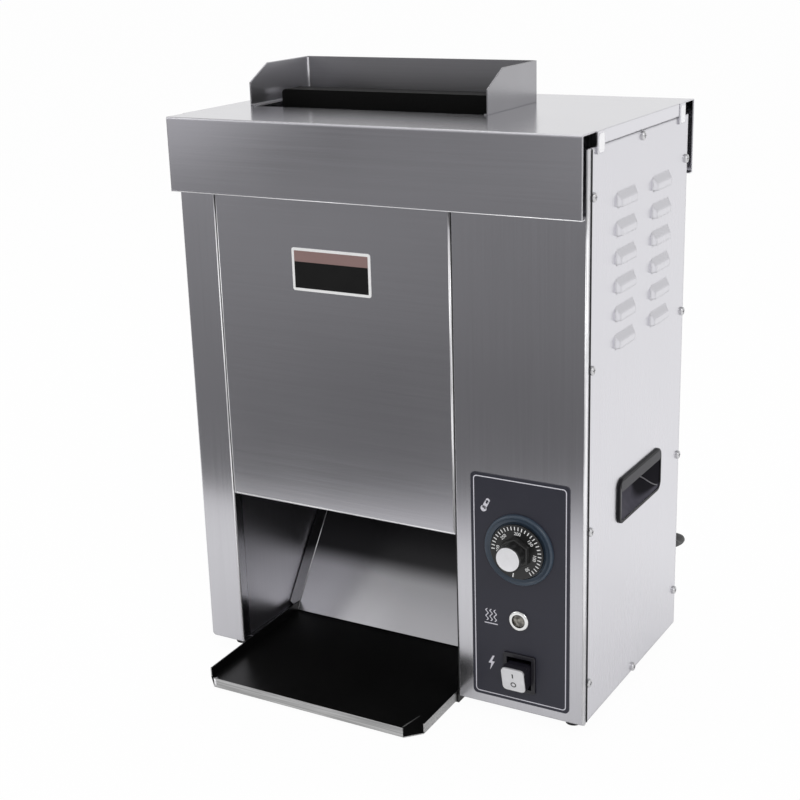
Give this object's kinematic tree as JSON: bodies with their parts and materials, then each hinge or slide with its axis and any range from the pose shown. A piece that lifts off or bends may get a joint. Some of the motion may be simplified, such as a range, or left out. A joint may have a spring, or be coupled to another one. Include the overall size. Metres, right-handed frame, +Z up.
{
  "type": "conveyor toaster",
  "caption": "Upright conveyor toaster with a top feed slot each side of a heated platen, a slanted chute, a removable front tray, a dial thermostat and a rocker switch.",
  "frame": {"origin": "on the counter under the middle of the toaster's outer box, without its supply cord", "axes": "+Z up, front (tray and controls) towards -Y, the controls on the +X side"},
  "size_m": [0.408, 0.4332, 0.563],
  "materials": {
    "brushed_steel": "brushed stainless",
    "bright_steel": "fine brushed stainless",
    "inner_steel": "mill stainless",
    "tray_coat": "black non-stick coating",
    "black_plastic": "moulded satin",
    "label": "printed overlay",
    "bezel": "satin",
    "dial": "satin",
    "silver_cap": "satin",
    "chrome": "polished",
    "lens": "clear tinted",
    "rubber": "matt",
    "release": "coated glass cloth",
    "cast_aluminium": "machined cast",
    "zinc_steel": "zinc plated",
    "belt": "stainless wire mesh",
    "bronze": "sintered",
    "motor_paint": "satin",
    "ceramic": "moulded",
    "cord": "matt"
  },
  "bodies": {
    "casing": {"base_plate": "inner_steel", "feet": "rubber", "screws": "zinc_steel", "left_side_panel": "bright_steel", "right_side_panel": "bright_steel", "left_front_column": "brushed_steel", "control_column": "brushed_steel", "front_panel": "brushed_steel", "rear_panel": "bright_steel", "top_rails": "inner_steel", "hood": "brushed_steel", "feed_guard": "brushed_steel", "left_handle": "black_plastic", "right_handle": "black_plastic", "left_inner_wall": "inner_steel", "right_inner_wall": "inner_steel", "front_heat_shield": "inner_steel", "rear_heat_shield": "inner_steel", "platen": "cast_aluminium", "release_sheet": "release", "platen_heaters": "inner_steel", "oven_standoffs": "zinc_steel", "front_belt": "belt", "rear_belt": "belt", "roller_bushes": "bronze", "middle_gear_pins": "zinc_steel", "drive_chain": "zinc_steel", "gear_motor": "motor_paint", "motor_bracket": "zinc_steel", "deflector": "brushed_steel", "tray_runners": "black_plastic", "control_label": "label", "thermostat_bezel": "bezel", "thermostat_body": "ceramic", "sensor_capillary": "zinc_steel", "lamp_housing": "chrome", "lamp_lens": "lens", "switch_housing": "black_plastic", "terminal_block": "ceramic", "cord_gland": "cord", "power_cord": "cord", "cord_coil": "cord", "cord_tail": "cord", "plug": "cord"},
    "tray_body": {"tray": "tray_coat"},
    "dial_body": {"thermostat_dial": "dial", "thermostat_cap": "silver_cap", "thermostat_spindle": "zinc_steel"},
    "rocker_body": {"switch_rocker": "black_plastic", "rocker_face": "silver_cap"},
    "motor_drive": {"motor_sprocket": "zinc_steel"},
    "front_drive": {"front_drive_roller": "zinc_steel", "front_shaft_gear": "zinc_steel", "shaft_sprocket": "zinc_steel"},
    "front_idler": {"front_idler_roller": "zinc_steel"},
    "gear_a": {"middle_gear_a": "zinc_steel"},
    "gear_b": {"middle_gear_b": "zinc_steel"},
    "rear_drive": {"rear_drive_roller": "zinc_steel", "rear_shaft_gear": "zinc_steel"},
    "rear_idler": {"rear_idler_roller": "zinc_steel"}
  },
  "joints": [
    {"name": "tray_slide", "type": "slide", "parent": "casing", "child": "tray_body", "axis": [0, -0.9994, -0.0349], "range_m": [0, 0.085]},
    {"name": "thermostat_turn", "type": "hinge", "parent": "casing", "child": "dial_body", "pos_m": [0.139, -0.08335, 0.168], "axis": [0, 1, 0], "range_deg": [-185, 93]},
    {"name": "power_rocker", "type": "hinge", "parent": "casing", "child": "rocker_body", "pos_m": [0.139, -0.08265, 0.051], "axis": [1, 0, 0], "range_deg": [-24, 0]},
    {"name": "motor_spin", "type": "hinge", "parent": "casing", "child": "motor_drive", "pos_m": [0, 0.06665, 0.093], "axis": [1, 0, 0], "continuous": true},
    {"name": "front_drive_spin", "type": "hinge", "parent": "casing", "child": "front_drive", "pos_m": [0, -0.01435, 0.203], "axis": [1, 0, 0], "continuous": true},
    {"name": "front_idler_spin", "type": "hinge", "parent": "casing", "child": "front_idler", "pos_m": [0, -0.01435, 0.491], "axis": [1, 0, 0], "continuous": true},
    {"name": "gear_a_spin", "type": "hinge", "parent": "casing", "child": "gear_a", "pos_m": [0, 0.02565, 0.203], "axis": [1, 0, 0], "continuous": true},
    {"name": "gear_b_spin", "type": "hinge", "parent": "casing", "child": "gear_b", "pos_m": [0, 0.06565, 0.203], "axis": [1, 0, 0], "continuous": true},
    {"name": "rear_drive_spin", "type": "hinge", "parent": "casing", "child": "rear_drive", "pos_m": [0, 0.10565, 0.203], "axis": [1, 0, 0], "continuous": true},
    {"name": "rear_idler_spin", "type": "hinge", "parent": "casing", "child": "rear_idler", "pos_m": [0, 0.10565, 0.491], "axis": [1, 0, 0], "continuous": true}
  ],
  "couplings": [
    {"joint": "motor_spin", "follows": "front_drive_spin", "ratio": 1},
    {"joint": "front_idler_spin", "follows": "front_drive_spin", "ratio": 1},
    {"joint": "gear_a_spin", "follows": "front_drive_spin", "ratio": -1},
    {"joint": "gear_b_spin", "follows": "front_drive_spin", "ratio": 1},
    {"joint": "rear_drive_spin", "follows": "front_drive_spin", "ratio": -1},
    {"joint": "rear_idler_spin", "follows": "front_drive_spin", "ratio": -1}
  ]
}
